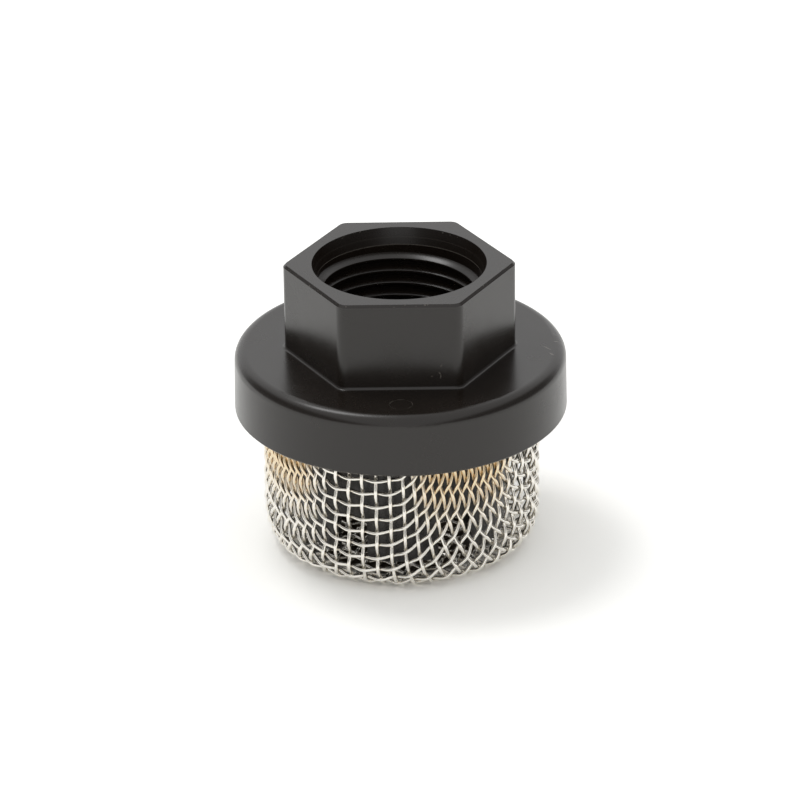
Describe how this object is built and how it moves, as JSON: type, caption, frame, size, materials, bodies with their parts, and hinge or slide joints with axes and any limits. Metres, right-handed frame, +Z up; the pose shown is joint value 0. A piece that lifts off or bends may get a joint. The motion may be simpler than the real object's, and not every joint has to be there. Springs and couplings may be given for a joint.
{
  "type": "inlet strainer",
  "caption": "Inlet strainer: black moulded head with a wrench hexagon, female hose thread and round collar, over a notched tube inside a deep cup of woven stainless wire cloth.",
  "frame": {"origin": "middle of the plane that the wire cup stands on, on the bore's axis", "axes": "+Z up the bore to the threaded mouth, -Y the front, which a flat of the hexagon faces, +X to the right"},
  "size_m": [0.0548, 0.0548, 0.0495],
  "materials": {
    "moulding": "satin",
    "wire": "drawn"
  },
  "bodies": {
    "root": {"strainer_head": "moulding", "mesh_cup": "wire"}
  },
  "joints": []
}
